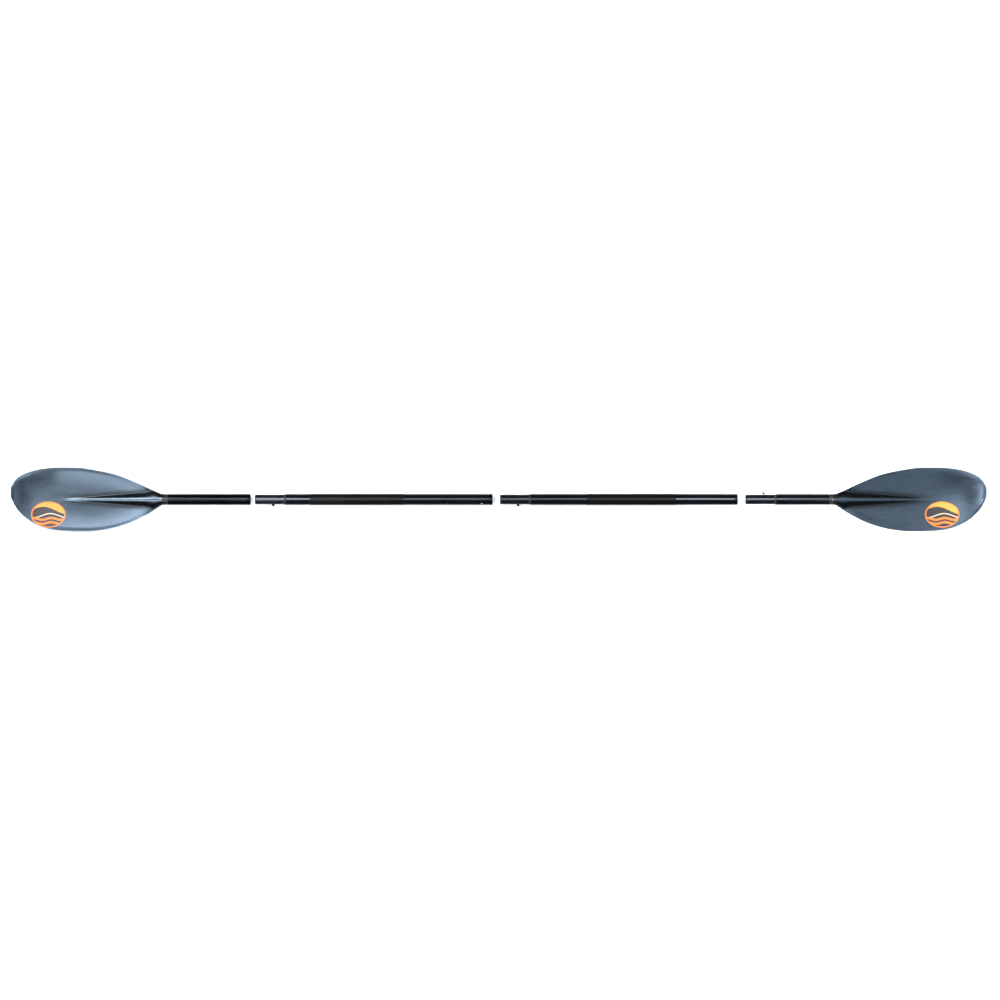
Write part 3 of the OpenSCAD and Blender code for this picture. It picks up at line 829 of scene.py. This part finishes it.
def turned(name, outline, body, node, material, centre, axis, hollow=True):
    """Spins an outline of (along, radius) points about axis through centre.
    A hollow piece has a closed outline; a solid one starts and ends on the axis."""
    bm = bmesh.new()
    verts = [bm.verts.new((r, 0, a)) for a, r in outline]
    ends = verts[1:] + verts[:1] if hollow else verts[1:]
    for first, second in zip(verts, ends):
        bm.edges.new((first, second))
    bmesh.ops.spin(bm, geom=bm.verts[:] + bm.edges[:], cent=(0, 0, 0), axis=(0, 0, 1),
                   angle=math.tau, steps=SEGMENTS, use_merge=True, use_duplicate=False)
    bmesh.ops.remove_doubles(bm, verts=bm.verts[:], dist=1e-7)
    bmesh.ops.recalc_face_normals(bm, faces=bm.faces[:])
    turn = Vector((0, 0, 1)).rotation_difference(Vector(axis)).to_matrix().to_4x4()
    bmesh.ops.transform(bm, matrix=Matrix.Translation(centre) @ turn, verts=bm.verts[:])
    piece = object_from(bm, name, material, 40)
    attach(piece, body)
    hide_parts(node)
    return piece


def rounded(points, radii, steps=4):
    """Rounds the corners of a closed outline; radii holds one radius for each point."""
    made = []
    for k, (point, radius) in enumerate(zip(points, radii)):
        here = Vector(point)
        if radius <= 0:
            made.append(point)
            continue
        before = (Vector(points[k - 1]) - here).normalized() * radius
        after = (Vector(points[(k + 1) % len(points)]) - here).normalized() * radius
        for i in range(steps + 1):
            f = i / steps
            made.append(tuple(here + before * (1 - f) ** 2 + after * f ** 2))
    return made


# %% Grip sleeves
SLEEVE_BODIES = {"left_grip": "left_shaft", "right_grip": "right_shaft"}
for node, body in SLEEVE_BODIES.items():
    low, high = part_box(node)
    length, outer = high.x - low.x, (high.y - low.y) / 2
    inner = TUBE_R + 0.02 * MM
    lip, drop = 1.2 * MM, 0.1 * MM
    outline = rounded([(0, inner), (0, outer - drop), (lip, outer), (length - lip, outer),
                       (length, outer - drop), (length, inner)],
                      [0, 0.12 * MM, 0.5 * MM, 0.5 * MM, 0.12 * MM, 0])
    turned(node + "_sleeve", outline, body, node, SLEEVE,
           (low.x, 0, AXIS_Z), (1, 0, 0))
    print(f"{node}: {length * 1000:.0f} mm long, {outer * 2000:.1f} mm across")

# %% [markdown]
# ## Collars, shoulder rings and caps
#
# A collar hides the seam between a blade's neck and its tube. It has a thin lip
# against the neck, a groove, a round rib that catches the light, and a matt
# sleeve over the tube's end. A shoulder ring is a soft black buffer that the
# other tube stops against. A cap closes each spigot with a rounded nose, so it
# finds its socket easily.

# %% Collars
def make_collar(node, body, direction):
    """A collar over node's place; direction is 1 if its tube lies towards +X."""
    low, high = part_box(node)
    length, outer = high.x - low.x, (high.y - low.y) / 2
    start = low.x if direction > 0 else high.x
    inner, step = TUBE_R - 1.55 * MM, 0.5 * MM
    lip, rib_start, rib_end = 0.13 * length, 0.21 * length, 0.5 * length
    sleeve = outer - 0.6 * MM
    outline = rounded(
        [(0, inner), (0, outer), (lip, outer), (lip + step, outer - step),
         (rib_start, outer - step), (rib_start + step, outer), (rib_end, outer),
         (rib_end + step, sleeve), (length, sleeve), (length, inner)],
        [0, 0.4 * MM, 0.35 * MM, 0.15 * MM, 0.15 * MM, 1.7 * MM, 1.7 * MM, 0.3 * MM, 0.4 * MM, 0],
        6)
    piece = turned(node + "_collar", outline, body, node, COLLAR_BLACK,
                   (start, 0, AXIS_Z), (direction, 0, 0))
    matt = piece.data.attributes.new("matt", "FLOAT", "POINT")
    for k, vert in enumerate(piece.data.vertices):
        along = (vert.co.x - start) * direction
        matt.data[k].value = soft_step((along - rib_end) / step)
    print(f"{node}: {length * 1000:.1f} mm wide")


make_collar("left_neck_ring", "left_blade_piece", 1)
make_collar("right_neck_ring", "right_blade_piece", -1)

# %% Shoulder rings
RING_BODIES = {"left_shoulder_ring": "left_shaft", "centre_shoulder_ring": "centre_ring",
               "right_shoulder_ring": "right_blade_piece"}
SPIGOT_R = (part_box("left_spigot")[1].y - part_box("left_spigot")[0].y) / 2
for node, body in RING_BODIES.items():
    low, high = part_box(node)
    length, outer = high.x - low.x, (high.y - low.y) / 2
    inner = SPIGOT_R + 0.05 * MM
    edge, seat_gap = 0.35 * MM, 0.05 * MM
    outline = rounded([(seat_gap, inner), (seat_gap, outer), (length, outer), (length, inner)],
                      [0, edge, edge, 0])
    turned(node + "_buffer", outline, body, node, RING_RUBBER,
           (low.x, 0, AXIS_Z), (1, 0, 0))
print(f"spigots {SPIGOT_R * 2000:.1f} mm across, rings {outer * 2000:.1f} mm")

# %% Spigot caps
CAP_BODIES = {"left_spigot_cap": "left_shaft", "centre_spigot_cap": "right_shaft",
              "right_spigot_cap": "right_blade_piece"}
for node, body in CAP_BODIES.items():
    low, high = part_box(node)
    nose, rim, plug = 3.0 * MM, 0.4 * MM, SPIGOT_R - 1.35 * MM
    length = high.x - low.x
    outline = rounded([(0, 0), (0, SPIGOT_R), (nose + rim, SPIGOT_R), (nose + rim, plug),
                       (length, plug), (length, 0)], [0, nose, 0.1 * MM, 0, 0.3 * MM, 0], 8)
    turned(node + "_nose", outline, body, node, MOULDED_BLACK,
           (low.x, 0, AXIS_Z), (1, 0, 0), hollow=False)
print("caps with a", round(nose * 1000, 1), "mm nose radius")

# %% [markdown]
# ## Moving spring leaves
#
# Each push button is riveted to the moving leaf of a V-shaped spring. The leaf's
# far end stays at the round bend while the button goes down. The leaf is cut
# into short lengths between the two.

# %% Moving spring leaves
LEAF_BODIES = {"left": ("left_shaft", "left_push_button"),
               "centre": ("right_shaft", "centre_push_button"),
               "right": ("right_blade_piece", "right_push_button")}
LEAF_STEPS = 10
for joint, (body, button_body) in LEAF_BODIES.items():
    node = joint + "_clip_arm"
    low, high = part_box(node)
    button_low, button_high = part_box(joint + "_button")
    if button_low.x - low.x > high.x - button_high.x:
        bend_x, rivet_x = low.x, button_low.x
    else:
        bend_x, rivet_x = high.x, button_high.x
    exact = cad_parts[node]
    bm = bmesh.new()
    bm.from_mesh(exact.data)
    bm.transform(exact.matrix_world)
    for k in range(1, LEAF_STEPS):
        station = bend_x + (rivet_x - bend_x) * k / LEAF_STEPS
        bmesh.ops.bisect_plane(bm, geom=bm.verts[:] + bm.edges[:] + bm.faces[:],
                               plane_co=(station, 0, 0), plane_no=(1, 0, 0))
    piece = object_from(bm, joint + "_clip_leaf", STEEL)
    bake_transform(piece)
    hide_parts(node)
    print(f"{node}: free length {abs(rivet_x - bend_x) * 1000:.1f} mm")

# %% [markdown]
# ## Finishes on the exact pieces
#
# Tubes, spigots, stoppers, buttons and the fixed halves of the springs are shown
# as they come from the exact model, since their chamfers and holes are already
# in it. They only get a finish. The floor gets its own: pale to look at, darker
# in what the tubes reflect, as if black cards stood around it.

# %% Finishes on the exact pieces
FINISHES = {
    "left_blade_tube": LEFT_BLADE_TUBE, "left_shaft_tube": LEFT_SHAFT_TUBE,
    "right_shaft_tube": RIGHT_SHAFT_TUBE, "right_blade_tube": RIGHT_BLADE_TUBE,
    "left_spigot": SPIGOT_BLACK, "centre_spigot": SPIGOT_BLACK, "right_spigot": SPIGOT_BLACK,
    "left_tube_stopper": FOAM, "left_shaft_stopper": FOAM, "right_shaft_stopper": FOAM,
    "left_clip_base": STEEL, "centre_clip_base": STEEL, "right_clip_base": STEEL,
    "left_button": STEEL, "centre_button": STEEL, "right_button": STEEL,
}
for node, material in FINISHES.items():
    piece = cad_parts[node]
    piece.data.materials.clear()
    piece.data.materials.append(material)
print("finished exact pieces:", len(FINISHES))

# %% Floor finish
floor_material, nodes, links, shader = start_material("pale_floor", Roughness=0.9)
mottle = stretched_noise(nodes, links, (3.0, 3.0, 3.0), 4.0)
sheet = blend_colours(nodes, links, mottle, (0.90, 0.90, 0.90), (0.93, 0.93, 0.93))
rays = nodes.new("ShaderNodeLightPath")
links.new(blend_colours(nodes, links, rays.outputs["Is Camera Ray"], (0.22, 0.23, 0.25), sheet),
          shader.inputs["Base Color"])
shader.inputs["Emission Color"].default_value = (1.0, 1.0, 1.0, 1.0)
links.new(math_node(nodes, links, "MULTIPLY", rays.outputs["Is Camera Ray"], 0.25),
          shader.inputs["Emission Strength"])
floor.data.materials.append(floor_material)
print("floor finish:", floor_material.name)
